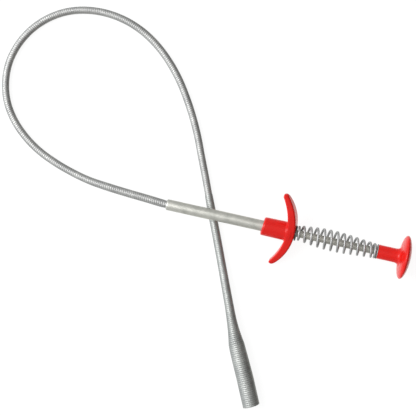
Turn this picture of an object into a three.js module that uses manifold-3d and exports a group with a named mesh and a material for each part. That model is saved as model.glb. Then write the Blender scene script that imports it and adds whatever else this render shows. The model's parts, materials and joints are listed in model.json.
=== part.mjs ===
// Hand-operated claw drain auger. A thumb plunger slides in a finger grip and pushes a cable through a
// flexible steel hose, and four claws come out of the coil-wound head at its far end.
// Units are millimetres and +Z is up. The tool lies on the plane z = 0 with its handle along X and the
// thumb button at +X. The origin is under the middle of the handle.

import * as THREE from 'three';
import { mergeVertices } from 'three/addons/utils/BufferGeometryUtils.js';
import Module from 'manifold-3d';

const wasm = await Module();
wasm.setup();

// ---- Driving dimensions ----------------------------------------------------------------------------
const GAP = 0.3; // clearance between pieces that touch
const FINE = 24; // sides of a small turned piece
const SLEEVE_SIDES = 32; // sides of the grip's sleeve
const RIM_SIDES = 40; // sides of the thumb button

// How the handle lies: the rim of the button and one arm tip of the grip rest on z = 0.
const HANDLE_X = -69.92; // the barrel tube's open end
const HANDLE_PITCH = THREE.MathUtils.degToRad(2.25); // button end up
const HANDLE_ROLL = THREE.MathUtils.degToRad(21.3); // about its own axis, one arm tip down

// Distances along the handle are from the barrel tube's open end.
const TUBE = { end: 74.0, radius: 3.1, bore: 2.7, mouthBore: 2.3, mouthDepth: 2.0, lip: 0.8 };
const BUSH = { from: 66.2, to: 74.0, radius: 2.5, bore: 2.2 };
const HOSE_COLLAR = { from: 4.0, to: 11.0, radius: 2.5, bore: 2.2 };
const ROD = { from: 61.8, to: 132.0, radius: 2.0, bore: 1.4 };
const STOP_COLLAR = { from: 62.1, to: 65.9, radius: 2.5, bore: 2.2 };
const ROD_CRIMP = { from: 62.3, to: 68.3, radius: 1.22, bore: 0.92 };
const FRONT_WASHER = { from: 74.3, to: 75.1, radius: 4.3, bore: 2.3 };
const REAR_WASHER = { from: 121.0, to: 121.3, radius: 4.2, bore: 2.3 };
const SPRING = { from: 75.3, to: 120.95, turns: 12.5, wire: 1.3, endRadius: 3.65, midRadius: 5.4 };
const SPRING_CLOSED = { first: 0.5, last: 1, pitch: 1.75 }; // the flat turns at each end
const SPRING_LEAN = 0.6; // how far off the rod its end at the grip sits
const SPRING_MESH = { sides: 6, steps: 150 };
const BUTTON = { from: 121.35, rim: 136.6, rimRadius: 12.4, top: 140.05 };
const BUTTON_NECK = { radius: 3.95, edge: 0.3, to: 131.0 };
const BUTTON_UNDERSIDE = { radius: 6.8, at: 134.3 }; // where the neck's fillet meets the disc's underside

// Finger grip: a sleeve on the tube that runs into a crescent plate, whose arms sweep towards the hose.
const SLEEVE = { from: 55.0, radius: 5.2, edge: 1.1, to: 72.0 };
const SLEEVE_FLARE = { from: 66.5, radius: 5.7, to: 70.5 };
const CRESCENT = { apex: 74.2, radius: 30.0, hollow: 69.45, tipRadius: 1.25, tipOffset: 20.3, arcSteps: 9 };
const PLATE = { halfWidth: 5.3, endRadius: 2.6, from: 60.0, to: 78.0, arcSteps: 5 };

// Hose and head. Distances along the route are from the start of the neck coil, which the hose meets.
const HOSE = { radius: 2.0, bore: 1.3, sides: 12, steps: 44 };
const HOSE_IN_TUBE = 10.5; // length of hose inside the barrel tube
const CABLE = { radius: 0.75, sides: 8, steps: 72 };
const JOINT_FERRULE = { radius: 1.16, bore: 0.92, sides: 12, steps: 3 };
const JOINT_FERRULE_HALF = 6.0;
const COIL_WIRE = 0.85;
const NECK_RADIUS = 2.25;
const NECK_BENDS = 8; // straight stretches that the bent neck is made of
const FLARE = { from: 59.0, to: 85.2, radius: 4.15 };
const HEAD = { from: 64.0, length: 122.5, endRadius: 4.45, yaw: THREE.MathUtils.degToRad(-64.7) };
const HEAD_BULGE = { radii: [4.75, 4.95], step: 12 }; // control radii of its barrel shape, after the flare
const HEAD_START = [-23.0, -48.7, 4.77]; // where the head's straight axis begins

// Claw cluster. Distances along the head are from where its straight axis begins.
const CARRIER = { from: 26.8, to: 32.2, radius: 2.6, edge: 0.5, socketTo: 31.5, socket: 1.45 };
const TAIL_SLEEVE = { from: 3.5, to: 31.2, radius: 1.2, bore: 0.92 };
const CABLE_END = { handle: 71.0, head: 29.8 };
const CLAW_WIRE = { radius: 0.35, sides: 6, steps: 16 };
const CLAWS = 4;
const CLAW_PIVOT = 32.5;
const CLAW_SHAPE = [[0, 1.0], [7, 1.0], [14, 1.0], [18, 1.18], [21, 1.55], [23.2, 1.95], [24.6, 2.05],
  [25.2, 1.65], [25.1, 1.0]]; // distance from the pivot and distance from the head's axis

// Route of the hose on the surface, from the tube to the neck coil: one loop that comes back under the tube.
const LOOP = [
  [-81.6, 0.8, 6.55], [-93.0, 1.5, 6.0], [-104.5, 2.4, 5.35], [-115.8, 3.7, 4.6], [-126.8, 6.2, 3.85],
  [-137.7, 9.7, 3.15], [-148.1, 14.3, 2.6], [-157.6, 20.6, 2.25], [-165.8, 28.6, 2.1], [-171.8, 38.1, 2.05],
  [-175.0, 49.0, 2.05], [-175.2, 60.3, 2.05], [-172.2, 71.3, 2.05], [-166.5, 81.2, 2.05],
  [-158.4, 89.4, 2.05], [-148.7, 95.2, 2.05], [-137.8, 98.3, 2.05], [-126.4, 98.9, 2.05],
  [-115.1, 97.1, 2.05], [-104.5, 93.1, 2.05], [-94.8, 87.1, 2.05], [-86.3, 79.7, 2.05],
  [-78.7, 71.1, 2.05], [-72.1, 61.6, 2.05], [-66.3, 51.8, 2.1], [-61.2, 41.7, 2.15], [-56.7, 31.2, 2.2],
  [-52.2, 20.9, 2.25],
];
// Route of the neck coil, from its start, under the tube and up to the head's axis.
const NECK_ROUTE = [
  [-47.9, 10.7, 2.3], [-43.9, 1.3, 2.3], [-39.8, -8.1, 2.35], [-35.6, -17.9, 2.65], [-31.3, -28.1, 3.3],
  [-26.9, -38.6, 4.1], [-22.7, -48.55, 4.65],
];

// ---- Shapes ----------------------------------------------------------------------------------------
const metal = (color, roughness = 0.35) => new THREE.MeshStandardMaterial({ color, roughness, metalness: 1 });
const plastic = (color) => new THREE.MeshStandardMaterial({ color, roughness: 0.3, metalness: 0 });

function part(parent, name, geometry, material) {
  const mesh = new THREE.Mesh(geometry, material);
  mesh.name = name;
  parent.add(mesh);
  return mesh;
}

// A turned solid about X, from a closed profile of [radius, distance along X] points.
function turned(profile, sides = FINE) {
  const points = profile.map(([radius, along]) => new THREE.Vector2(radius, along));
  return new THREE.LatheGeometry(points, sides).rotateZ(-Math.PI / 2);
}

function ring({ from, to, radius, bore }) {
  return turned([[bore, from], [radius, from], [radius, to], [bore, to], [bore, from]]);
}

function polygon(radius, sides) {
  const corners = [];
  for (let i = 0; i < sides; i += 1) {
    const angle = (2 * Math.PI * i) / sides;
    corners.push(new THREE.Vector2(radius * Math.cos(angle), radius * Math.sin(angle)));
  }
  return corners;
}

// A round bar, or a pipe where a bore is given, swept along a curve.
function swept(curve, { radius, bore, sides, steps }) {
  const section = new THREE.Shape(polygon(radius, sides));
  if (bore) {
    section.holes.push(new THREE.Path(polygon(bore, sides)));
  }
  return new THREE.ExtrudeGeometry(section, { steps, extrudePath: curve });
}

// The stretch of a curve between two distances along it.
class Stretch extends THREE.Curve {
  constructor(curve, from, to) {
    super();
    this.curve = curve;
    this.from = from / curve.getLength();
    this.to = to / curve.getLength();
  }

  getPoint(t, target = new THREE.Vector3()) {
    return this.curve.getPointAt(THREE.MathUtils.clamp(this.from + (this.to - this.from) * t, 0, 1), target);
  }
}

// A barrel-shaped helix about X, widest a little before its middle, with flat turns at both ends.
class BarrelHelix extends THREE.Curve {
  getPoint(t, target = new THREE.Vector3()) {
    const { from, to, turns, wire, endRadius, midRadius } = SPRING;
    const { first, last, pitch } = SPRING_CLOSED;
    const turn = t * turns;
    const openPitch = (to - from - wire - pitch * (first + last)) / (turns - first - last);
    const flatTurns = Math.min(turn, first) + Math.max(turn - (turns - last), 0);
    const along = from + wire / 2 + pitch * flatTurns + openPitch * (turn - flatTurns);
    const radius = endRadius + (midRadius - endRadius) * Math.sin(Math.PI * t ** 0.82) ** 1.6;
    const angle = 2 * Math.PI * turn;
    const aside = SPRING_LEAN * (1 - t);
    return target.set(along, aside + radius * Math.cos(angle), radius * Math.sin(angle));
  }
}

function toSolid(geometry) {
  const bare = geometry.index ? geometry.clone() : geometry;
  bare.deleteAttribute('normal');
  bare.deleteAttribute('uv');
  const merged = mergeVertices(bare);
  const vertProperties = new Float32Array(merged.attributes.position.array);
  const triVerts = new Uint32Array(merged.index.array);
  return new wasm.Manifold(new wasm.Mesh({ numProp: 3, vertProperties, triVerts }));
}

function toGeometry(solid) {
  const { vertProperties, triVerts } = solid.getMesh();
  const geometry = new THREE.BufferGeometry();
  geometry.setAttribute('position', new THREE.BufferAttribute(vertProperties, 3));
  geometry.setIndex(new THREE.BufferAttribute(triVerts, 1));
  return geometry;
}

// ---- Handle ----------------------------------------------------------------------------------------
function tubeGeometry() {
  const { end, radius, bore, mouthBore, mouthDepth, lip } = TUBE;
  const outside = new THREE.Path();
  outside.moveTo(mouthBore, 0);
  outside.lineTo(radius - lip / 2, 0);
  outside.quadraticCurveTo(radius, 0, radius, lip);
  outside.lineTo(radius, end);
  const points = outside.getPoints(3).map((point) => [point.x, point.y]);
  return turned([...points, [bore, end], [bore, mouthDepth + lip], [mouthBore, mouthDepth], [mouthBore, 0]]);
}

// The crescent's outline in plan: two arcs about the axis that run into a round tip at each end.
function crescentOutline() {
  const { apex, radius, hollow, tipRadius, tipOffset } = CRESCENT;
  const outerCentre = apex - radius;
  const tipAt = outerCentre + Math.sqrt((radius - tipRadius) ** 2 - tipOffset ** 2);
  const drop = hollow - tipAt;
  const innerRadius = (tipOffset ** 2 + drop ** 2 - tipRadius ** 2) / (2 * (tipRadius + drop));
  const innerCentre = hollow - innerRadius;
  const outerAngle = Math.atan2(tipOffset, tipAt - outerCentre);
  const innerAngle = Math.atan2(tipOffset, tipAt - innerCentre);
  const outline = new THREE.Shape();
  outline.absarc(outerCentre, 0, radius, -outerAngle, outerAngle, false);
  outline.absarc(tipAt, tipOffset, tipRadius, outerAngle, Math.PI + innerAngle, false);
  outline.absarc(innerCentre, 0, innerRadius, innerAngle, -innerAngle, true);
  outline.absarc(tipAt, -tipOffset, tipRadius, Math.PI - innerAngle, 2 * Math.PI - outerAngle, false);
  return outline;
}

// The plate's outline seen along the handle: two long arcs that run into a round end on each arm.
function plateOutline() {
  const { halfWidth, endRadius } = PLATE;
  const endOffset = CRESCENT.tipOffset + CRESCENT.tipRadius - endRadius;
  const radius = (endOffset ** 2 + halfWidth ** 2 - endRadius ** 2) / (2 * (halfWidth - endRadius));
  const centre = halfWidth - radius;
  const lean = Math.atan2(endOffset, -centre);
  const quarter = Math.PI / 2;
  const outline = new THREE.Shape();
  outline.absarc(endOffset, 0, endRadius, lean - quarter, quarter - lean, false);
  outline.absarc(0, centre, radius, quarter - lean, quarter + lean, false);
  outline.absarc(-endOffset, 0, endRadius, quarter + lean, 3 * quarter - lean, false);
  outline.absarc(0, -centre, radius, 3 * quarter - lean, 3 * quarter + lean, false);
  return outline;
}

function slab(outline, depth, curveSegments) {
  return new THREE.ExtrudeGeometry(outline, { depth, curveSegments, bevelEnabled: false });
}

// What the crescent and the plate have in common, with the sleeve joined on and bored for the tube.
function gripGeometry() {
  const depth = 4 * PLATE.halfWidth;
  const crescent = slab(crescentOutline(), depth, CRESCENT.arcSteps).translate(0, 0, -depth / 2);
  const plate = slab(plateOutline(), PLATE.to - PLATE.from, PLATE.arcSteps);
  const across = new THREE.Vector3(0, 1, 0);
  const up = new THREE.Vector3(0, 0, 1);
  const along = new THREE.Vector3(1, 0, 0);
  plate.applyMatrix4(new THREE.Matrix4().makeBasis(across, up, along));
  plate.translate(PLATE.from, 0, 0);
  const { from, to, radius, edge } = SLEEVE;
  const sleeve = turned([
    [0, from], [radius - edge, from], [radius, from + edge], [radius, SLEEVE_FLARE.from],
    [SLEEVE_FLARE.radius, SLEEVE_FLARE.to], [radius, to], [0, to],
  ], SLEEVE_SIDES);
  const boreRadius = TUBE.radius + GAP;
  const [start, end] = [from - depth, to + depth];
  const bore = turned([[0, start], [boreRadius, start], [boreRadius, end], [0, end]]);
  const arms = toSolid(crescent).intersect(toSolid(plate));
  return toGeometry(arms.add(toSolid(sleeve)).subtract(toSolid(bore)));
}

function buttonGeometry() {
  const { from, rim, rimRadius, top } = BUTTON;
  const { radius: neck, edge, to } = BUTTON_NECK;
  const { radius: under, at } = BUTTON_UNDERSIDE;
  const socket = ROD.radius + GAP;
  const profile = new THREE.Path();
  profile.moveTo(0, ROD.to + GAP);
  profile.lineTo(socket, ROD.to + GAP);
  profile.lineTo(socket, from);
  profile.lineTo(neck - edge, from);
  profile.lineTo(neck, from + edge);
  profile.lineTo(neck, to);
  profile.bezierCurveTo(neck, at - 1.1, under - 2.1, at - 0.2, under, at);
  profile.bezierCurveTo(under + 2.4, at + 0.3, rimRadius - 1.1, rim - 1.5, rimRadius - 0.3, rim - 0.7);
  profile.quadraticCurveTo(rimRadius, rim - 0.4, rimRadius, rim);
  profile.bezierCurveTo(rimRadius, rim + 1.3, under, top, 0, top);
  const points = profile.getPoints(6).map((point) => [point.x, point.y]);
  return turned(points, RIM_SIDES);
}

const tool = new THREE.Group();
tool.name = 'drain_auger';

const handle = new THREE.Group();
const axisUp = Math.sin(HANDLE_PITCH);
const axisOn = Math.cos(HANDLE_PITCH);
const handleZ = BUTTON.rimRadius * axisOn - BUTTON.rim * axisUp; // the rim rests on z = 0
handle.position.set(HANDLE_X, 0, handleZ);
handle.rotation.set(HANDLE_ROLL, -HANDLE_PITCH, 0, 'YXZ');
tool.add(handle);

part(handle, 'barrel_tube', tubeGeometry(), metal('#a9a9a6', 0.28));
part(handle, 'rod_guide_bush', ring(BUSH), metal('#b59b5c', 0.4));
part(handle, 'hose_end_collar', ring(HOSE_COLLAR), metal('#9c9c9a', 0.4));
part(handle, 'finger_grip', gripGeometry(), plastic('#e03e3c'));
part(handle, 'front_spring_washer', ring(FRONT_WASHER), metal('#363635', 0.35));
const springWire = { radius: SPRING.wire / 2, sides: SPRING_MESH.sides, steps: SPRING_MESH.steps };
part(handle, 'return_spring', swept(new BarrelHelix(), springWire), metal('#b3b3b1', 0.3));
part(handle, 'rear_spring_washer', ring(REAR_WASHER), metal('#b3b3b1', 0.3));
part(handle, 'plunger_rod', ring(ROD), metal('#b9b6ae', 0.3));
part(handle, 'plunger_stop_collar', ring(STOP_COLLAR), metal('#9c9c9a', 0.4));
part(handle, 'rod_cable_crimp', ring(ROD_CRIMP), metal('#b59b5c', 0.4));
part(handle, 'thumb_button', buttonGeometry(), plastic('#e02a28'));

// ---- Hose, cable and head --------------------------------------------------------------------------
const headAlong = new THREE.Vector3(Math.cos(HEAD.yaw), Math.sin(HEAD.yaw), 0);
const headStart = new THREE.Vector3(...HEAD_START);
const handleAlong = new THREE.Vector3(axisOn, 0, axisUp);
const onHandle = (distance) => handleAlong.clone().multiplyScalar(distance).add(handle.position);
const onHead = (distance) => headAlong.clone().multiplyScalar(distance).add(headStart);

const headLength = HEAD.length - HEAD.from;
const routePoints = [
  onHandle(CABLE_END.handle), onHandle(40), onHandle(12), onHandle(0),
  ...LOOP.map((point) => new THREE.Vector3(...point)),
  ...NECK_ROUTE.map((point) => new THREE.Vector3(...point)),
  onHead(6), onHead(12), onHead(headLength / 2), onHead(headLength),
];
const route = new THREE.CatmullRomCurve3(routePoints);
route.arcLengthDivisions = 2000;
const routeLength = route.getLength();
const neckStart = routeLength - HEAD.length;

const hoseRun = new Stretch(route, CABLE_END.handle - HOSE_IN_TUBE, neckStart - GAP);
part(tool, 'flexible_hose', swept(hoseRun, HOSE), metal('#ababa9', 0.38));
const cableRun = new Stretch(route, 0, routeLength - headLength + CABLE_END.head);
part(tool, 'cable_core', swept(cableRun, CABLE), metal('#8c8c8a', 0.45));
const ferruleRun = new Stretch(route, neckStart - JOINT_FERRULE_HALF, neckStart + JOINT_FERRULE_HALF);
part(tool, 'coil_joining_ferrule', swept(ferruleRun, JOINT_FERRULE), metal('#b59b5c', 0.4));

// The head's winding: a narrow neck, a flare and a slightly barrel-shaped cylinder, open at its end. It is
// turned as a straight piece and then bent along the route.
function headCoilGeometry() {
  const outer = new THREE.Path();
  outer.moveTo(NECK_RADIUS, 0);
  for (let i = 1; i <= NECK_BENDS; i += 1) {
    outer.lineTo(NECK_RADIUS, (FLARE.from * i) / NECK_BENDS);
  }
  outer.quadraticCurveTo(NECK_RADIUS, (FLARE.from + FLARE.to) / 2, FLARE.radius, FLARE.to);
  const { radii, step } = HEAD_BULGE;
  outer.bezierCurveTo(radii[0], FLARE.to + step, radii[1], FLARE.to + 2 * step, HEAD.endRadius, HEAD.length);
  const wall = outer.getPoints(4).map((point) => [point.x, point.y]);
  const inside = wall.map(([radius, along]) => [radius - COIL_WIRE, along]).reverse();
  const geometry = turned([...wall, ...inside, wall[0]]);
  const position = geometry.attributes.position;
  const up = new THREE.Vector3(0, 0, 1);
  for (let i = 0; i < position.count; i += 1) {
    const reach = Math.min((neckStart + position.getX(i)) / routeLength, 1);
    const along = route.getTangentAt(reach);
    const side = new THREE.Vector3().crossVectors(up, along).normalize();
    const above = new THREE.Vector3().crossVectors(along, side);
    const point = route.getPointAt(reach);
    point.addScaledVector(side, position.getY(i)).addScaledVector(above, position.getZ(i));
    position.setXYZ(i, point.x, point.y, point.z);
  }
  return geometry;
}

part(tool, 'head_coil', headCoilGeometry(), metal('#a6a7a4', 0.36));

const head = new THREE.Group();
head.position.copy(headStart);
head.rotation.z = HEAD.yaw;
tool.add(head);

function carrierGeometry() {
  const { from, to, radius, edge, socketTo, socket } = CARRIER;
  return turned([
    [0, socketTo], [socket, socketTo], [socket, from], [radius - edge, from], [radius, from + edge],
    [radius, to - edge], [radius - edge, to], [0, to],
  ]);
}

part(head, 'claw_carrier', carrierGeometry(), metal('#b59b5c', 0.4));
part(head, 'cable_tail_sleeve', ring(TAIL_SLEEVE), metal('#9c9c9a', 0.4));

for (let i = 0; i < CLAWS; i += 1) {
  const claw = new THREE.Group();
  claw.position.x = CLAW_PIVOT;
  claw.rotation.x = (2 * Math.PI * (i + 0.5)) / CLAWS;
  head.add(claw);
  const line = new THREE.CatmullRomCurve3(CLAW_SHAPE.map(([along, out]) => new THREE.Vector3(along, 0, out)));
  part(claw, `claw_${i + 1}`, swept(line, CLAW_WIRE), metal('#b0b0ae', 0.3));
}

export default tool;
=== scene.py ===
# Hand-operated claw drain auger: its looks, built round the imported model. Metres, +Z up. The tool lies on
# z = 0 with its handle along X, and its looped hose and its head lie on the same surface.
import json
import math

import bpy
import numpy as np
from mathutils import Matrix, Vector


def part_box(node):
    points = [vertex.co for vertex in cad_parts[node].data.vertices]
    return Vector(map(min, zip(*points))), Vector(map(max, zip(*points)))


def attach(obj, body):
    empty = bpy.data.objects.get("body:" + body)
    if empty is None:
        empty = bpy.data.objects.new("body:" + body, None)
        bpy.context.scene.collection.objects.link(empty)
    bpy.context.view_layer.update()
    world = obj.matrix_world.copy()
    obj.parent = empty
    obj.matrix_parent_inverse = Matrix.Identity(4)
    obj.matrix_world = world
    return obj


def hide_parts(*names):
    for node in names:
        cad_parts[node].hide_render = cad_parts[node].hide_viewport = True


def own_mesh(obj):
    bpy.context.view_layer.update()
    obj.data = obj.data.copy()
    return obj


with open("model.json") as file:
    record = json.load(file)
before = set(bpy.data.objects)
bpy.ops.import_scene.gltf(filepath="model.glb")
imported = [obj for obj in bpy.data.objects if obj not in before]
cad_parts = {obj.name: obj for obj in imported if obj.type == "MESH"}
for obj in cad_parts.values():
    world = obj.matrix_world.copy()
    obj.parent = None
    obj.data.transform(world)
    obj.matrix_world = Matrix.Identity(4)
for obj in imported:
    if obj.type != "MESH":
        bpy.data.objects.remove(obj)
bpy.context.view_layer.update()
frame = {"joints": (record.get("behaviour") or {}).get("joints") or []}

joints = {joint["name"]: joint for joint in frame["joints"]}

# ---- Driving dimensions, in metres -----------------------------------------------------------------
# Distances along the handle are from the barrel tube's open end, where the hose goes in.
HANDLE_ROLL = math.radians(21.3)
TUBE = {"end": 0.074, "radius": 0.0031, "bore": 0.0027, "mouth_bore": 0.0023, "mouth_depth": 0.002,
        "shoulder": 0.0012, "lip": 0.00015, "chamfer": 0.0008, "edge": 0.0006}
BUSH = {"from": 0.0662, "to": 0.074, "radius": 0.0025, "bore": 0.0022}
HOSE_COLLAR = {"from": 0.004, "to": 0.011, "radius": 0.0025, "bore": 0.0022}
ROD = {"from": 0.0618, "to": 0.132, "radius": 0.002, "bore": 0.0014, "edge": 0.0003}
STOP_COLLAR = {"from": 0.0621, "to": 0.0659, "radius": 0.0025, "bore": 0.0022}
ROD_CRIMP = {"from": 0.0623, "to": 0.0683, "radius": 0.00122, "bore": 0.00092}
FRONT_WASHER = {"from": 0.0743, "to": 0.0751, "radius": 0.0043, "bore": 0.0023}
REAR_WASHER = {"from": 0.121, "to": 0.1213, "radius": 0.0042, "bore": 0.0023}
SPRING = {"from": 0.0753, "to": 0.12095, "turns": 12.5, "wire": 0.0013, "end": 0.00365, "middle": 0.0054}
SPRING_BULGE = {"skew": 0.82, "power": 1.6}  # a skew below 1 puts the widest turn before the middle
SPRING_CLOSED = {"first": 0.5, "last": 1, "pitch": 0.00175}
SPRING_LEAN = 0.0006  # how far off the rod its end at the grip sits
BUTTON = {"from": 0.12132, "rim": 0.1366, "rim_radius": 0.0124, "top": 0.14005, "edge": 0.00018}
BUTTON_SOCKET = {"gap": 0.0002, "end_gap": 0.0003}  # round the rod, and past its end
BUTTON_NECK = {"radius": 0.004, "to": 0.131}
BUTTON_UNDERSIDE = {"radius": 0.0068, "at": 0.1343}

SLEEVE = {"from": 0.055, "to": 0.072, "radius": 0.00525, "end_radius": 0.00545, "edge": 0.0011,
          "fillet": 0.0011, "slant": 0.09}
CRESCENT = {"apex": 0.07445, "radius": 0.0309, "hollow": 0.06975, "tip_radius": 0.00145,
            "tip_offset": 0.0203, "lean": 0.11, "aside": 0.0003}
PLATE = {"half_width": 0.0053, "end_radius": 0.0026, "end": 0.02185, "edge": 0.0009}
GRIP_BORE = {"radius": 0.00315, "edge": 0.0003}
GRIP_GRID = {"low": (0.0535, -0.0225, -0.0066), "high": (0.0762, 0.0225, 0.0066), "cell": 0.00032}
WASHER_SEAT = {"from": 0.0742, "radius": 0.0046}

# Distances along the neck and head are from the start of the neck coil, which the hose meets. A flatness is
# how thick a wire is outward, against its width along the winding.
HOSE = {"radius": 0.0021, "pitch": 0.00116, "flatness": 0.2, "in_tube": 0.0105}
HOSE_THICK = {"radius": 0.0023, "flatness": 0.28, "length": 0.05, "swell": 0.003, "fade": 3}  # by the tube
JOINT_FERRULE = {"half": 0.006, "radius": 0.00116, "bore": 0.00092}
HEAD = {"from": 0.064, "length": 0.1225, "diameter": 0.0093, "neck_pitch": 0.0011, "pitch": 0.00116,
        "flatness": 0.2}
WINDING_STEPS = 4000
WIRE_SECTION = np.radians([0, 27, 53, 72, 90, 135, 180, 225, 270, 288, 307, 333])  # finer outside
HEAD_START = Vector((-0.023, -0.0487, 0.00477))
# How far the head's winding stands beside its axis, by the distance from where its straight axis begins.
HEAD_ASIDE = np.array([(0.006, 0), (0.012, -0.00025), (0.02, -0.00047), (0.026, -0.00045), (0.042, 0)])
# The winding's radius by the distance along the neck and head: points, then two Bezier curves.
NECK_OUTLINE = [(0, 0.00225), (0.008, 0.0024), (0.04, 0.0024), (0.062, 0.00256)]
FLARE_CURVE = [(0.062, 0.00256), (0.077, 0.00275), (0.0805, 0.0037), (0.086, 0.0045)]
BARREL_CURVE = [(0.086, 0.0045), (0.091, 0.00482), (0.108, 0.00495), (0.1225, 0.00485)]
CABLE = {"radius": 0.00075, "strands": 6, "groove": 0.2, "lay": 0.009, "handle_end": 0.071,
         "head_end": 0.0298}

# Distances along the head are from where its straight axis begins.
CARRIER = {"from": 0.0268, "to": 0.0322, "radius": 0.0026, "socket_to": 0.0315, "socket": 0.00145,
           "edge": 0.0004}
TAIL_SLEEVE = {"from": 0.0035, "to": 0.0312, "radius": 0.0012, "bore": 0.00092}
CLAWS = 4
CLAW_PIVOT = 0.0325
CLAW_WIRE = {"radius": 0.00035, "blunt": 0.1}
CLAW_SHAPE = [(0, 0.001), (0.007, 0.001), (0.014, 0.001), (0.018, 0.00118), (0.021, 0.00155),
              (0.0232, 0.00195), (0.0246, 0.00205), (0.0252, 0.00165), (0.0251, 0.001)]

# The route that the cable, the hose and the head share: inside the handle, round the loop, along the neck
# coil under the tube and up to the head's axis, and along that axis.
HANDLE_ROUTE = [CABLE["handle_end"], 0.04, 0.012, 0]
LOOP = [
    (-0.0816, 0.0008, 0.00655), (-0.093, 0.0015, 0.006), (-0.1045, 0.0024, 0.00535),
    (-0.1158, 0.0037, 0.0046), (-0.1268, 0.0062, 0.00385), (-0.1377, 0.0097, 0.00315),
    (-0.1481, 0.0143, 0.00265), (-0.1576, 0.0206, 0.00234), (-0.1658, 0.0286, 0.00217),
    (-0.1718, 0.0381, 0.00213), (-0.175, 0.049, 0.00213), (-0.1752, 0.0603, 0.00213),
    (-0.1722, 0.0713, 0.00213), (-0.1665, 0.0812, 0.00213), (-0.1584, 0.0894, 0.00213),
    (-0.1487, 0.0952, 0.00213), (-0.1378, 0.0983, 0.00213), (-0.1264, 0.0989, 0.00213),
    (-0.1151, 0.0971, 0.00213), (-0.1045, 0.0931, 0.00213), (-0.0948, 0.0871, 0.00213),
    (-0.0863, 0.0797, 0.00213), (-0.0787, 0.0711, 0.00213), (-0.0721, 0.0616, 0.00213),
    (-0.0663, 0.0518, 0.00217), (-0.0612, 0.0417, 0.00223), (-0.0567, 0.0312, 0.00228),
    (-0.0522, 0.0209, 0.00234),
]
NECK_ROUTE = [
    (-0.0479, 0.0107, 0.00242), (-0.0439, 0.0013, 0.00242), (-0.0398, -0.0081, 0.00244),
    (-0.0356, -0.0179, 0.00272), (-0.0313, -0.0281, 0.0033), (-0.0269, -0.0386, 0.0041),
    (-0.0227, -0.04855, 0.00465),
]

# ---- Where things are ------------------------------------------------------------------------------
handle_axis = -Vector(joints["plunger_slide"]["axis"]).normalized()
tube_low, tube_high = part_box("barrel_tube")
handle_start = (tube_low + tube_high) / 2 - handle_axis * TUBE["end"] / 2
pitch = math.asin(handle_axis.z)
HANDLE = (Matrix.Translation(handle_start) @ Matrix.Rotation(-pitch, 4, "Y")
          @ Matrix.Rotation(HANDLE_ROLL, 4, "X"))
head_axis = Vector(joints["claw_slide"]["axis"]).normalized()
HEAD_FRAME = Matrix.Translation(HEAD_START) @ Matrix.Rotation(math.atan2(head_axis.y, head_axis.x), 4, "Z")


def on_handle(distance):
    return handle_start + handle_axis * distance


def on_head(distance):
    return HEAD_START + head_axis * distance


class Route:
    """A centripetal Catmull-Rom curve through some points, measured by distance along it."""

    STEPS = 60

    def __init__(self, points):
        points = np.array(points, float)
        points = np.vstack([2 * points[0] - points[1], points, 2 * points[-1] - points[-2]])
        gaps = np.linalg.norm(np.diff(points, axis=0), axis=1) ** 0.5
        fine = [points[1][None]]
        for i in range(1, len(points) - 2):
            p0, p1, p2, p3 = points[i - 1:i + 3]
            g0, g1, g2 = gaps[i - 1:i + 2]
            start = ((p1 - p0) / g0 - (p2 - p0) / (g0 + g1) + (p2 - p1) / g1) * g1
            end = ((p2 - p1) / g1 - (p3 - p1) / (g1 + g2) + (p3 - p2) / g2) * g1
            t = np.linspace(0, 1, self.STEPS + 1)[1:, None]
            fine.append(p1 + start * t + (3 * (p2 - p1) - 2 * start - end) * t ** 2
                        + (start + end - 2 * (p2 - p1)) * t ** 3)
        self.points = np.vstack(fine)
        self.reach = np.concatenate([[0], np.cumsum(np.linalg.norm(np.diff(self.points, axis=0), axis=1))])
        self.tangents = unit(np.gradient(self.points, self.reach, axis=0))
        self.length = self.reach[-1]

    def at(self, distances):
        """Points, and their forward, sideways and upward directions, at these distances."""
        here = np.stack([np.interp(distances, self.reach, self.points[:, k]) for k in range(3)], -1)
        along = np.stack([np.interp(distances, self.reach, self.tangents[:, k]) for k in range(3)], -1)
        along = unit(along)
        side = unit(np.cross((0, 0, 1), along))
        return here, along, side, np.cross(along, side)


def unit(vectors):
    return vectors / np.linalg.norm(vectors, axis=-1, keepdims=True)


head_length = HEAD["length"] - HEAD["from"]
HEAD_ROUTE = [0.006, 0.012, head_length / 2, head_length]
route = Route([*map(on_handle, HANDLE_ROUTE), *LOOP, *NECK_ROUTE, *map(on_head, HEAD_ROUTE)])
neck_start = route.length - HEAD["length"]
hose_start = CABLE["handle_end"] - HOSE["in_tube"]
hose_end = neck_start

# ---- Camera ----------------------------------------------------------------------------------------
CAMERA_PLACE = (-0.04659, 0.00312, 0.588)
CAMERA_TURN = math.radians(12.56)
LENS_MM = 88.9
SENSOR_MM = 36
camera = bpy.data.objects.new("camera", bpy.data.cameras.new("camera"))
camera.data.lens = LENS_MM
camera.data.sensor_width = SENSOR_MM
camera.location = CAMERA_PLACE
camera.rotation_euler = (0, 0, CAMERA_TURN)
bpy.context.scene.collection.objects.link(camera)
bpy.context.scene.camera = camera


# ---- Mesh building ---------------------------------------------------------------------------------
CRISP = math.radians(50)  # a bend past which an edge isn't shaded smooth


def make_object(name, points, faces, place=None, sharp=None):
    """A smooth-shaded mesh object. Edges that bend by more than the angle sharp stay crisp."""
    points = np.asarray(points, float)
    if place is not None:
        turn = np.array(place.to_3x3())
        points = points @ turn.T + np.array(place.translation)
    mesh = bpy.data.meshes.new(name)
    mesh.from_pydata(points.tolist(), [], faces)
    mesh.shade_smooth()
    if sharp is not None:
        mesh.set_sharp_from_angle(angle=sharp)
    built = bpy.data.objects.new(name, mesh)
    bpy.context.scene.collection.objects.link(built)
    return built


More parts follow.
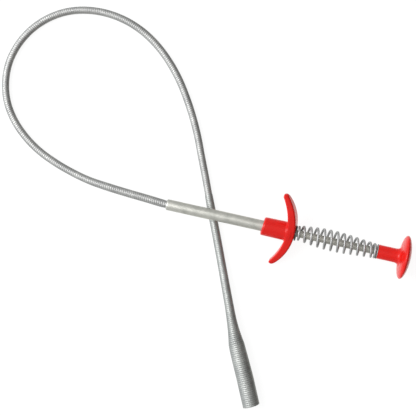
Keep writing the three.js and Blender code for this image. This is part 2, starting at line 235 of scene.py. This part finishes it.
def skin(name, rows, ends=None, place=None, sharp=None):
    """A closed surface over rows of points, shaped (rows, points in a row, 3), each row a closed ring.
    The last row joins the first, or each end closes on its own point."""
    rows = np.asarray(rows, float)
    count, around = rows.shape[:2]
    last = count if ends is None else count - 1
    i, j = np.meshgrid(np.arange(last), np.arange(around), indexing="ij")
    after, beside = (i + 1) % count, (j + 1) % around
    quads = np.stack([i * around + j, i * around + beside, after * around + beside, after * around + j], -1)
    quads = quads.reshape(-1, 4)
    points = rows.reshape(-1, 3)
    corner = points[quads]
    flux = np.cross(corner[:, 2] - corner[:, 0], corner[:, 3] - corner[:, 1])
    volume = (flux * (corner.mean(1) - points.mean(0))).sum()
    faces = quads if volume > 0 else quads[:, ::-1]
    faces = faces.tolist()
    if ends is not None:
        total = count * around
        points = np.vstack([points, ends])
        for centre, start in ((total, 0), (total + 1, (count - 1) * around)):
            for k in range(around):
                fan = [centre, start + (k + 1) % around, start + k]
                flip = (start == 0) != (volume > 0)
                faces.append(fan[::-1] if flip else fan)
    return make_object(name, points, faces, place, sharp)


def rounded(corners, radius, closed=True, steps=4):
    """Corners of a profile, in [distance, radius] pairs, with each one softened."""
    corners = [np.array(corner, float) for corner in corners]
    points = []
    for i, here in enumerate(corners):
        if not closed and i in (0, len(corners) - 1):
            points.append(here)
            continue
        before, after = corners[i - 1], corners[(i + 1) % len(corners)]
        to_before, to_after = before - here, after - here
        cut = min(radius, 0.45 * np.linalg.norm(to_before), 0.45 * np.linalg.norm(to_after))
        start, end = here + unit(to_before) * cut, here + unit(to_after) * cut
        for t in np.linspace(0, 1, steps + 1):
            points.append((1 - t) ** 2 * start + 2 * t * (1 - t) * here + t ** 2 * end)
    return np.array(points)


def turned(name, profile, place, sides=64, on_axis=False, sharp=CRISP):
    """A turned piece about X, from [distance, radius] pairs: a closed section, or one between two points on
    the axis."""
    profile = np.asarray(profile, float)
    section = profile[1:-1] if on_axis else profile
    angle = round_section(sides)
    rows = np.stack([
        np.repeat(section[:, :1], sides, 1), section[:, 1:] * np.cos(angle), section[:, 1:] * np.sin(angle),
    ], -1)
    ends = [(profile[0, 0], 0, 0), (profile[-1, 0], 0, 0)] if on_axis else None
    return skin(name, rows, ends, place, sharp)


def ring(name, size, place, edge=0.0002, sides=64):
    """A plain turned ring with softened edges."""
    corners = [(size["from"], size["bore"]), (size["from"], size["radius"]),
               (size["to"], size["radius"]), (size["to"], size["bore"])]
    return turned(name, rounded(corners, edge), place, sides)


def round_section(sides):
    return np.linspace(0, 2 * math.pi, sides, endpoint=False)


def bar(name, centre, outward, radius, section, place=None, flatness=1):
    """A bar along centre, its section's points at these angles from outward. Its radius may vary along it,
    and so may flatness, its thickness outward against its width."""
    along = unit(np.gradient(centre, axis=0))
    side = unit(np.cross(along, outward))
    up = np.cross(side, along)
    radius = np.broadcast_to(radius, (len(centre),))[:, None, None]
    angle = np.asarray(section)[None, :, None]
    flatness = np.broadcast_to(flatness, (len(centre),))[:, None, None]
    reach = flatness * np.cos(angle) * up[:, None] + np.sin(angle) * side[:, None]
    rows = centre[:, None] + radius * reach
    return skin(name, rows, [centre[0], centre[-1]], place)


def winding(name, start, end, radius_at, pitch_at, flatness_at, per_turn, last_turn=0, aside_at=None):
    """A wire wound right-handed round the route from start to end, in distances along it, each turn against
    the last, and clear of the floor. last_turn is what it has beyond whole turns, and aside_at how far
    beside the route its middle is."""
    fine = np.linspace(start, end, WINDING_STEPS)
    turns = np.concatenate([[0], np.cumsum(np.diff(fine) / pitch_at((fine[1:] + fine[:-1]) / 2))])
    turns *= (round(turns[-1]) + last_turn) / turns[-1]
    count = round(turns[-1] * per_turn)
    turn = np.arange(count + 1) / per_turn
    reach = np.interp(turn, turns, fine)
    here, _, side, above = route.at(reach)
    angle = (2 * math.pi * turn)[:, None]
    outward = np.cos(angle) * side + np.sin(angle) * above
    half = pitch_at(reach) / 2
    here[:, 2] = np.maximum(here[:, 2], radius_at(reach))
    if aside_at is not None:
        here = here + aside_at(reach)[:, None] * side
    flatness = flatness_at(reach)
    centre = here + (radius_at(reach) - flatness * half)[:, None] * outward
    return bar(name, centre, outward, half, WIRE_SECTION, flatness=flatness)


def bezier(points, steps):
    """Points of a Bezier curve, its first one left out."""
    points = np.array(points, float)
    t = np.linspace(0, 1, steps + 1)[1:, None]
    degree = len(points) - 1
    return sum(math.comb(degree, k) * (1 - t) ** (degree - k) * t ** k * points[k]
               for k in range(degree + 1))


# ---- Solids from distance fields, for moulded shapes with fillets ------------------------------------
def round_union(a, b, radius):
    """Joins two solids, with a fillet along the inside corner."""
    inside = np.hypot(np.maximum(radius - a, 0), np.maximum(radius - b, 0))
    return np.maximum(radius, np.minimum(a, b)) - inside


def round_common(a, b, radius):
    """What two solids have in common, with its outside corner rounded."""
    outside = np.hypot(np.maximum(radius + a, 0), np.maximum(radius + b, 0))
    return np.minimum(-radius, np.maximum(a, b)) + outside


# How a point settles on a moulded surface: the number of moves, how far its slope is felt, and the longest
# move, both against the cell, and the least slope squared.
SETTLE = {"moves": 6, "feel": 0.05, "longest": 0.5, "least_slope": 0.05, "shortest": 1e-12}


def moulded(name, field, low, high, cell, place):
    """The surface where field is zero, as a mesh of quads, each point moved onto the surface."""
    low = np.array(low, float)
    size = np.ceil((np.array(high) - low) / cell).astype(int) + 1
    grid = [low[k] + cell * np.arange(size[k]) for k in range(3)]
    value = field(*np.meshgrid(*grid, indexing="ij"))
    inside = value < 0
    corners = [(i, j, k) for i in (0, 1) for j in (0, 1) for k in (0, 1)]
    box = tuple(size - 1)
    held = sum(inside[i:i + box[0], j:j + box[1], k:k + box[2]].astype(int) for i, j, k in corners)
    mixed = (held > 0) & (held < 8)
    number = np.full(box, -1)
    number[mixed] = np.arange(mixed.sum())
    points = low + cell * (np.argwhere(mixed) + 0.5)
    faces = []
    for axis in range(3):
        b, c = (axis + 1) % 3, (axis + 2) % 3
        near = np.take(inside, range(size[axis] - 1), axis)
        far = np.take(inside, range(1, size[axis]), axis)
        for leaving in (True, False):
            cross = near & ~far if leaving else far & ~near
            at = np.argwhere(cross)
            at = at[(at[:, b] > 0) & (at[:, c] > 0) & (at[:, b] < box[b]) & (at[:, c] < box[c])]
            step_b, step_c = np.eye(3, dtype=int)[b], np.eye(3, dtype=int)[c]
            loop = [at - step_b - step_c, at - step_c, at, at - step_b]
            quads = np.stack([number[tuple(cell_at.T)] for cell_at in loop], -1)
            faces += (quads if leaving else quads[:, ::-1]).tolist()
    nudge = cell * SETTLE["feel"]
    for _ in range(SETTLE["moves"]):
        slope = np.stack([
            field(*(points + nudge * np.eye(3)[k]).T) - field(*(points - nudge * np.eye(3)[k]).T)
            for k in range(3)], -1) / (2 * nudge)
        steep = np.maximum((slope ** 2).sum(1), SETTLE["least_slope"])
        move = -(field(*points.T) / steep)[:, None] * slope
        reach = np.linalg.norm(move, axis=1, keepdims=True)
        points += move * np.minimum(1, cell * SETTLE["longest"] / np.maximum(reach, SETTLE["shortest"]))
    return make_object(name, points, faces, place)


def grip_field(a, u, w):
    """The finger grip: distance a along the handle, u towards the raised arm and w off the plate."""
    radius, tip, tip_u = CRESCENT["radius"], CRESCENT["tip_radius"], CRESCENT["tip_offset"]
    centre_a = CRESCENT["apex"] - radius
    tip_a = centre_a + math.sqrt((radius - tip) ** 2 - tip_u ** 2)
    drop = CRESCENT["hollow"] - tip_a
    hollow_radius = (tip_u ** 2 + drop ** 2 - tip ** 2) / (2 * (tip + drop))
    leaning = a + CRESCENT["lean"] * w
    across = np.abs(u - CRESCENT["aside"])
    outer = np.hypot(leaning - centre_a, across) - radius
    hollow = hollow_radius - np.hypot(leaning - (CRESCENT["hollow"] - hollow_radius), across)
    beyond = across * (tip_a - centre_a) - (leaning - centre_a) * tip_u
    rounded_tip = np.hypot(leaning - tip_a, across - tip_u) - tip
    crescent = np.where(beyond > 0, rounded_tip, np.maximum(outer, hollow))
    half, end = PLATE["half_width"], PLATE["end_radius"]
    end_at = PLATE["end"] - end
    radius = (end_at ** 2 + half ** 2 - end ** 2) / (2 * (half - end))
    lens = np.hypot(across, np.abs(w) + radius - half) - radius
    tips = np.hypot(across - end_at, w) - end
    plate = np.where(across > end_at, tips, lens)
    arms = round_common(crescent, plate, PLATE["edge"])
    share = (a - SLEEVE["from"]) / (SLEEVE["to"] - SLEEVE["from"])
    sleeve_radius = SLEEVE["radius"] + (SLEEVE["end_radius"] - SLEEVE["radius"]) * share
    off_axis = np.hypot(u, w)
    ends = np.maximum(SLEEVE["from"] + SLEEVE["slant"] * (u + SLEEVE["radius"]) - a, a - SLEEVE["to"])
    sleeve = round_common(off_axis - sleeve_radius, ends, SLEEVE["edge"])
    body = round_union(arms, sleeve, SLEEVE["fillet"])
    seat = np.maximum(off_axis - WASHER_SEAT["radius"], WASHER_SEAT["from"] - a)
    return round_common(np.maximum(body, -seat), GRIP_BORE["radius"] - off_axis, GRIP_BORE["edge"])


# ---- Pieces ----------------------------------------------------------------------------------------
def make_tube():
    """The barrel tube, its mouth turned in round the hose, with a rounded shoulder."""
    size = TUBE
    face = (0, size["mouth_bore"] + size["lip"])
    shoulder = bezier([face, (0, size["radius"]), (size["shoulder"], size["radius"])], steps=10)
    rest = rounded([
        (size["shoulder"], size["radius"]), (size["end"], size["radius"]),
        (size["end"], size["bore"]), (size["mouth_depth"] + size["chamfer"], size["bore"]),
        (size["mouth_depth"], size["mouth_bore"]), (size["lip"], size["mouth_bore"]),
    ], size["edge"], closed=False, steps=6)
    return turned("tube", np.vstack([[face], shoulder, rest[1:]]), HANDLE, sides=96)


def make_button():
    """The thumb button: a neck with a socket for the rod, a flared underside, a thin lip and a dome."""
    rim, rim_radius, top = BUTTON["rim"], BUTTON["rim_radius"], BUTTON["top"]
    neck, neck_to = BUTTON_NECK["radius"], BUTTON_NECK["to"]
    under, at = BUTTON_UNDERSIDE["radius"], BUTTON_UNDERSIDE["at"]
    start = BUTTON["from"]
    socket = ROD["radius"] + BUTTON_SOCKET["gap"]
    socket_end = ROD["to"] + BUTTON_SOCKET["end_gap"]
    corners = [(socket_end, 0), (socket_end, socket), (start, socket), (start, neck), (neck_to, neck)]
    flare_controls = [(at - 0.0011, neck), (at - 0.0002, under - 0.0021)]
    underside_controls = [(at + 0.0003, under + 0.0024), (rim - 0.0015, rim_radius - 0.0011)]
    lip = (rim - 0.0007, rim_radius - 0.0003)
    lip_control = (rim - 0.0004, rim_radius)
    dome_controls = [(rim + 0.0013, rim_radius), (top, under)]
    profile = [(socket_end, 0)]
    profile += rounded(corners, BUTTON["edge"], closed=False).tolist()[1:]
    profile += bezier([(neck_to, neck), *flare_controls, (at, under)], steps=14).tolist()
    profile += bezier([(at, under), *underside_controls, lip], steps=12).tolist()
    profile += bezier([lip, lip_control, (rim, rim_radius)], steps=6).tolist()
    profile += bezier([(rim, rim_radius), *dome_controls, (top, 0)], steps=22).tolist()
    return turned("button", profile, HANDLE, sides=128, on_axis=True)


def make_spring():
    """A barrel-shaped compression spring, widest a little before its middle, with flat turns at its ends."""
    size, flat = SPRING, SPRING_CLOSED
    per_turn = 48
    turn = np.arange(round(size["turns"] * per_turn) + 1) / per_turn
    share = turn / size["turns"]
    run = size["to"] - size["from"] - size["wire"] - flat["pitch"] * (flat["first"] + flat["last"])
    open_pitch = run / (size["turns"] - flat["first"] - flat["last"])
    flat_turns = np.minimum(turn, flat["first"]) + np.maximum(turn - (size["turns"] - flat["last"]), 0)
    along = size["from"] + size["wire"] / 2 + flat["pitch"] * flat_turns + open_pitch * (turn - flat_turns)
    bulge = np.sin(np.pi * share ** SPRING_BULGE["skew"]) ** SPRING_BULGE["power"]
    radius = size["end"] + (size["middle"] - size["end"]) * bulge
    angle = 2 * math.pi * turn
    outward = np.stack([np.zeros_like(turn), np.cos(angle), np.sin(angle)], -1)
    aside = SPRING_LEAN * (1 - share) + radius * np.cos(angle)
    centre = np.stack([along, aside, radius * np.sin(angle)], -1)
    return bar("spring", centre, outward, size["wire"] / 2, round_section(sides=14), HANDLE)


def make_cable():
    """A twisted cable: its section has a lobe for each outer strand, and turns as it goes."""
    sections, per_strand = 620, 5
    end = route.length - head_length + CABLE["head_end"]
    reach = np.linspace(0, end, sections)
    lobes, around = CABLE["strands"], CABLE["strands"] * per_strand
    here, _, side, above = route.at(reach)
    twist = 2 * math.pi * reach / CABLE["lay"]
    angle = round_section(around)[None] + twist[:, None]
    lobe = np.abs(np.sin(np.arange(around) * math.pi * lobes / around))
    groove = CABLE["groove"]
    radius = CABLE["radius"] * (1 - groove + groove * lobe)[None, :, None]
    outward = np.cos(angle)[..., None] * side[:, None] + np.sin(angle)[..., None] * above[:, None]
    rows = here[:, None] + radius * outward
    return skin("cable", rows, [here[0], here[-1]])


def make_hose():
    """The close-wound wire hose, a little thicker and of rounder wire next to the tube."""
    mouth = CABLE["handle_end"]  # the route starts this far inside the tube

    def thickness(reach):
        rise = (reach - mouth) / HOSE_THICK["swell"]
        past = (reach - mouth) / HOSE_THICK["length"]
        return np.clip(np.minimum(rise, (1 - past) * HOSE_THICK["fade"]), 0, 1)

    def radius_at(reach):
        return HOSE["radius"] + (HOSE_THICK["radius"] - HOSE["radius"]) * thickness(reach)

    def pitch_at(reach):
        return np.full(len(reach), HOSE["pitch"])

    def flatness_at(reach):
        return HOSE["flatness"] + (HOSE_THICK["flatness"] - HOSE["flatness"]) * thickness(reach)

    return winding("hose", hose_start, hose_end, radius_at, pitch_at, flatness_at, per_turn=16)


def make_head_coil():
    """The head's winding: a narrow neck, a flare and a slightly barrel-shaped cylinder, open at its end."""
    outline = np.vstack([NECK_OUTLINE, bezier(FLARE_CURVE, steps=20), bezier(BARREL_CURVE, steps=20)])
    neck_radius, barrel_radius = NECK_OUTLINE[1][1], BARREL_CURVE[0][1]

    def radius_at(reach):
        return np.interp(reach - neck_start, outline[:, 0], outline[:, 1])

    def pitch_at(reach):
        wide = (radius_at(reach) - neck_radius) / (barrel_radius - neck_radius)
        return HEAD["neck_pitch"] + (HEAD["pitch"] - HEAD["neck_pitch"]) * np.clip(wide, 0, 1)

    def aside_at(reach):
        return np.interp(reach - route.length + head_length, HEAD_ASIDE[:, 0], HEAD_ASIDE[:, 1])

    def flatness_at(reach):
        return np.full(len(reach), HEAD["flatness"])

    return winding("head_coil_wire", neck_start, route.length - HEAD["pitch"] / 2, radius_at, pitch_at,
                   flatness_at, per_turn=28, last_turn=0.75, aside_at=aside_at)


def make_ferrule():
    """The short sleeve inside the windings where the hose meets the neck coil. It follows their bend."""
    sections, sides = 13, 32
    reach = np.linspace(neck_start - JOINT_FERRULE["half"], neck_start + JOINT_FERRULE["half"], sections)
    here, _, side, above = route.at(reach)
    angle = round_section(sides)
    spoke = np.cos(angle)[None, :, None] * side[:, None] + np.sin(angle)[None, :, None] * above[:, None]
    outer = here[:, None] + JOINT_FERRULE["radius"] * spoke
    inner = here[::-1, None] + JOINT_FERRULE["bore"] * spoke[::-1]
    return skin("ferrule", np.vstack([outer, inner]), sharp=CRISP)


def make_carrier():
    """The plug that the claws are set in, with a socket for the cable's sleeve."""
    size = CARRIER
    corners = [(size["socket_to"], 0), (size["socket_to"], size["socket"]), (size["from"], size["socket"]),
               (size["from"], size["radius"]), (size["to"], size["radius"]), (size["to"], 0)]
    return turned("carrier", rounded(corners, size["edge"], closed=False), HEAD_FRAME, on_axis=True)


def make_claw(number):
    """One hooked wire of the claw cluster, with a blunt tip."""
    sections = 72
    line = Route([(along, 0, out) for along, out in CLAW_SHAPE])
    reach = np.linspace(0, line.length, sections)
    centre = line.at(reach)[0]
    wire, blunt = CLAW_WIRE["radius"], CLAW_WIRE["blunt"]
    radius = wire * np.sqrt(np.clip((line.length - reach) / wire, blunt, 1))
    turn = Matrix.Rotation(2 * math.pi * (number - 0.5) / CLAWS, 4, "X")
    place = HEAD_FRAME @ Matrix.Translation((CLAW_PIVOT, 0, 0)) @ turn
    across = np.array((0, 1.0, 0))
    return bar(f"claw_wire_{number}", centre, across, radius, round_section(sides=14), place)


# ---- Materials -------------------------------------------------------------------------------------
NOISE_MIDDLE = (0.3, 0.7)  # where most of a noise's values lie
NOISE_ROUGHNESS = 0.6
POLISH_SPREAD = (0.07, 0.08)  # how much smoother and rougher a metal gets in places


def new_material(name):
    material = bpy.data.materials.new(name)
    material.use_nodes = True
    shader = material.node_tree.nodes["Principled BSDF"]
    return material, shader


def add(material, kind, inputs=None, **settings):
    """A node of a material, with its settings and the values of its sockets."""
    node = material.node_tree.nodes.new(kind)
    for key, value in settings.items():
        setattr(node, key, value)
    for key, value in (inputs or {}).items():
        node.inputs[key].default_value = value
    return node


def join(material, source, target):
    material.node_tree.links.new(source, target)


def mottled(material, scale, detail=4.0, stretch=(1, 1, 1)):
    """Noise over the piece, with scale in blotches per metre and stretch to draw it out."""
    place = add(material, "ShaderNodeTexCoord")
    mapping = add(material, "ShaderNodeMapping", {"Scale": stretch})
    settings = {"Scale": scale, "Detail": detail, "Roughness": NOISE_ROUGHNESS}
    noise = add(material, "ShaderNodeTexNoise", settings)
    join(material, place.outputs["Object"], mapping.inputs["Vector"])
    join(material, mapping.outputs["Vector"], noise.inputs["Vector"])
    return noise.outputs["Fac"]


def between(material, amount, low, high):
    """A number that goes from low to high as amount goes over the middle of its range."""
    start, end = NOISE_MIDDLE
    settings = {"From Min": start, "From Max": end, "To Min": low, "To Max": high}
    node = add(material, "ShaderNodeMapRange", settings)
    join(material, amount, node.inputs["Value"])
    return node.outputs["Result"]


def tinted(material, amount, dark, light):
    """A colour between dark and light."""
    ramp = add(material, "ShaderNodeValToRGB")
    for element, position, colour in zip(ramp.color_ramp.elements, NOISE_MIDDLE, (dark, light)):
        element.position = position
        element.color = (*colour, 1)
    join(material, amount, ramp.inputs["Fac"])
    return ramp.outputs["Color"]


def rough_up(material, shader, amount, height, strength=0.4):
    """Fine relief, height metres high."""
    bump = add(material, "ShaderNodeBump", {"Distance": height, "Strength": strength})
    join(material, amount, bump.inputs["Height"])
    join(material, bump.outputs["Normal"], shader.inputs["Normal"])


def metal(name, dark, light, rough, scale=700, stretch=(1, 1, 1), edge=0.6):
    """Plated or bare metal with uneven tone and polish, and fine marks drawn out by stretch. edge is the
    tint of what it reflects at a glancing angle."""
    material, shader = new_material(name)
    shader.inputs["Metallic"].default_value = 1
    shader.inputs["Specular Tint"].default_value = (edge, edge, edge, 1)
    blotches = mottled(material, scale / 4)
    marks = mottled(material, scale, detail=6, stretch=stretch)
    join(material, tinted(material, blotches, dark, light), shader.inputs["Base Color"])
    polish = between(material, marks, low=rough - POLISH_SPREAD[0], high=rough + POLISH_SPREAD[1])
    join(material, polish, shader.inputs["Roughness"])
    rough_up(material, shader, marks, height=0.00003)
    return material


def red_plastic():
    """Glossy moulded plastic with faint flow marks and a slightly uneven polish."""
    material, shader = new_material("red_plastic")
    shader.inputs["IOR"].default_value = 1.5
    shader.inputs["Specular IOR Level"].default_value = 0.27
    shader.inputs["Coat Weight"].default_value = 0.04
    shader.inputs["Coat Roughness"].default_value = 0.12
    flow = mottled(material, scale=160, detail=3, stretch=(0.5, 1, 1))
    grain = mottled(material, scale=2600, detail=3)
    colour = tinted(material, flow, dark=(0.62, 0.0075, 0.005), light=(0.7, 0.011, 0.007))
    join(material, colour, shader.inputs["Base Color"])
    join(material, between(material, grain, low=0.24, high=0.36), shader.inputs["Roughness"])
    rough_up(material, shader, grain, height=0.00002, strength=0.25)
    return material


DRAWN = (0.04, 1, 1)  # marks drawn out along X
tube_steel = metal("tube_steel", (0.58, 0.58, 0.54), (0.75, 0.74, 0.69), 0.46, 900, DRAWN)
rod_steel = metal("rod_steel", (0.48, 0.47, 0.43), (0.62, 0.6, 0.55), 0.5, 900, DRAWN)
hose_steel = metal("hose_steel", (0.43, 0.43, 0.43), (0.56, 0.56, 0.55), 0.57)
head_steel = metal("head_steel", (0.4, 0.41, 0.405), (0.52, 0.53, 0.515), 0.52)
spring_steel = metal("spring_steel", (0.46, 0.46, 0.46), (0.61, 0.61, 0.61), 0.58)
collar_steel = metal("collar_steel", (0.12, 0.12, 0.11), (0.2, 0.2, 0.19), 0.28)
cable_steel = metal("cable_steel", (0.3, 0.3, 0.29), (0.46, 0.46, 0.44), 0.4)
brass = metal("brass", (0.55, 0.4, 0.16), (0.7, 0.53, 0.24), 0.3)
red = red_plastic()


# ---- Putting it together ---------------------------------------------------------------------------
def fit(piece, name, body, slot, material, *nodes):
    """Names a piece, gives it its material, and puts it in place of its CAD nodes on their body."""
    piece.name = name
    piece.data.materials.append(material)
    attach(piece, body)
    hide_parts(*nodes)
    return piece


hose = fit(make_hose(), "hose_winding", "root", "hose_steel", hose_steel, "flexible_hose")
head_coil = fit(make_head_coil(), "head_winding", "root", "hose_steel", head_steel, "head_coil")
ferrule = fit(make_ferrule(), "joining_ferrule", "root", "brass", brass, "coil_joining_ferrule")
fit(make_cable(), "twisted_cable", "root", "cable_steel", cable_steel, "cable_core")
carrier = fit(make_carrier(), "claw_plug", "claw_carriage", "brass", brass, "claw_carrier")
tail_sleeve = fit(ring("tail_sleeve", TAIL_SLEEVE, HEAD_FRAME, edge=0.0001, sides=32), "tail_sleeve",
                  "claw_carriage", "collar_steel", collar_steel, "cable_tail_sleeve")
claws = [fit(make_claw(number), f"claw_wire_{number}", f"claw_{number}", "spring_steel", spring_steel,
             f"claw_{number}") for number in range(1, CLAWS + 1)]

fit(make_tube(), "tube", "root", "tube_steel", tube_steel, "barrel_tube")
fit(ring("bush", BUSH, HANDLE), "guide_bush", "root", "brass", brass, "rod_guide_bush")
fit(ring("collar", HOSE_COLLAR, HANDLE), "hose_collar", "root", "collar_steel", collar_steel,
    "hose_end_collar")
fit(ring("washer", FRONT_WASHER, HANDLE), "front_washer", "root", "collar_steel", collar_steel,
    "front_spring_washer")
fit(ring("washer", REAR_WASHER, HANDLE, edge=0.0001), "rear_washer", "plunger", "spring_steel", spring_steel,
    "rear_spring_washer")
fit(ring("rod", ROD, HANDLE, ROD["edge"]), "rod", "plunger", "tube_steel", rod_steel, "plunger_rod")
fit(ring("stop", STOP_COLLAR, HANDLE), "stop_collar", "plunger", "collar_steel", collar_steel,
    "plunger_stop_collar")
fit(ring("crimp", ROD_CRIMP, HANDLE, edge=0.0001, sides=32), "cable_crimp", "plunger", "brass", brass,
    "rod_cable_crimp")
fit(make_button(), "button", "plunger", "red_plastic", red, "thumb_button")

grip = moulded("grip", grip_field, GRIP_GRID["low"], GRIP_GRID["high"], GRIP_GRID["cell"], HANDLE)
fit(grip, "grip", "root", "red_plastic", red, "finger_grip")

spring = fit(make_spring(), "spring", "root", "spring_steel", spring_steel, "return_spring")
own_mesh(spring)

# ---- Studio ----------------------------------------------------------------------------------------
LIGHT_AIM = Vector((-0.05, 0.0, 0.0))
FLOOR_HALF = 4
floor_mesh = bpy.data.meshes.new("floor")
floor_corners = [(x * FLOOR_HALF, y * FLOOR_HALF, 0) for x, y in ((-1, -1), (1, -1), (1, 1), (-1, 1))]
floor_mesh.from_pydata(floor_corners, [], [(0, 1, 2, 3)])
floor = bpy.data.objects.new("floor", floor_mesh)
bpy.context.scene.collection.objects.link(floor)
floor_material, floor_shader = new_material("floor")
FLOOR_FINISH = {"Base Color": (0.15, 0.15, 0.15, 1), "Roughness": 0.9, "Specular IOR Level": 0.1,
                "Emission Color": (1, 1, 1, 1), "Emission Strength": 0.9}
for socket, value in FLOOR_FINISH.items():
    floor_shader.inputs[socket].default_value = value
floor.data.materials.append(floor_material)
floor.visible_glossy = False


def softbox(name, place, size, power):
    """A square area light that faces the middle of the object."""
    light = bpy.data.lights.new(name, "AREA")
    light.shape = "SQUARE"
    light.size = size
    light.energy = power
    lamp = bpy.data.objects.new(name, light)
    lamp.location = place
    lamp.rotation_euler = (LIGHT_AIM - Vector(place)).to_track_quat("-Z", "Y").to_euler()
    bpy.context.scene.collection.objects.link(lamp)


softbox("key", (-0.65, 0.02, 0.65), size=0.6, power=6.2)
softbox("top", (0.0, 0.0, 0.9), size=0.8, power=0.45)

# The surroundings: what brightness two ranges of the view's direction stand for, across and down, the
# direction that counts as across, and the tint of the dim and the bright side.
ACROSS = (0.999, 0.04, 0)
SIDE_LIGHT = {"From Min": -0.9, "From Max": 0.8, "To Min": 1.0, "To Max": 0.16}
PAPER_LIGHT = {"From Min": -0.35, "From Max": -0.7, "To Min": 0, "To Max": 1.2}
SIDE_TINT = [(1, 0.98, 0.92, 1), (0.95, 0.985, 1, 1)]


def studio_world():
    """A bright side on the left, a dark one on the right, and white paper below."""
    world = bpy.data.worlds.new("studio")
    world.use_nodes = True
    nodes, links = world.node_tree.nodes, world.node_tree.links
    place = nodes.new("ShaderNodeTexCoord")
    across = nodes.new("ShaderNodeVectorMath")
    across.operation = "DOT_PRODUCT"
    across.inputs[1].default_value = ACROSS
    split = nodes.new("ShaderNodeSeparateXYZ")
    side = nodes.new("ShaderNodeMapRange")
    below = nodes.new("ShaderNodeMapRange")
    total = nodes.new("ShaderNodeMath")
    total.operation = "MAXIMUM"
    for node, settings in ((side, SIDE_LIGHT), (below, PAPER_LIGHT)):
        for socket, value in settings.items():
            node.inputs[socket].default_value = value
    links.new(place.outputs["Generated"], across.inputs[0])
    links.new(place.outputs["Generated"], split.inputs["Vector"])
    links.new(across.outputs["Value"], side.inputs["Value"])
    links.new(split.outputs["Z"], below.inputs["Value"])
    links.new(side.outputs["Result"], total.inputs[0])
    links.new(below.outputs["Result"], total.inputs[1])
    links.new(total.outputs["Value"], nodes["Background"].inputs["Strength"])
    tint = nodes.new("ShaderNodeValToRGB")
    for element, colour in zip(tint.color_ramp.elements, SIDE_TINT):
        element.color = colour
    links.new(side.outputs["Result"], tint.inputs["Fac"])
    links.new(tint.outputs["Color"], nodes["Background"].inputs["Color"])
    return world


bpy.context.scene.world = studio_world()
bpy.context.scene.view_settings.view_transform = "Standard"
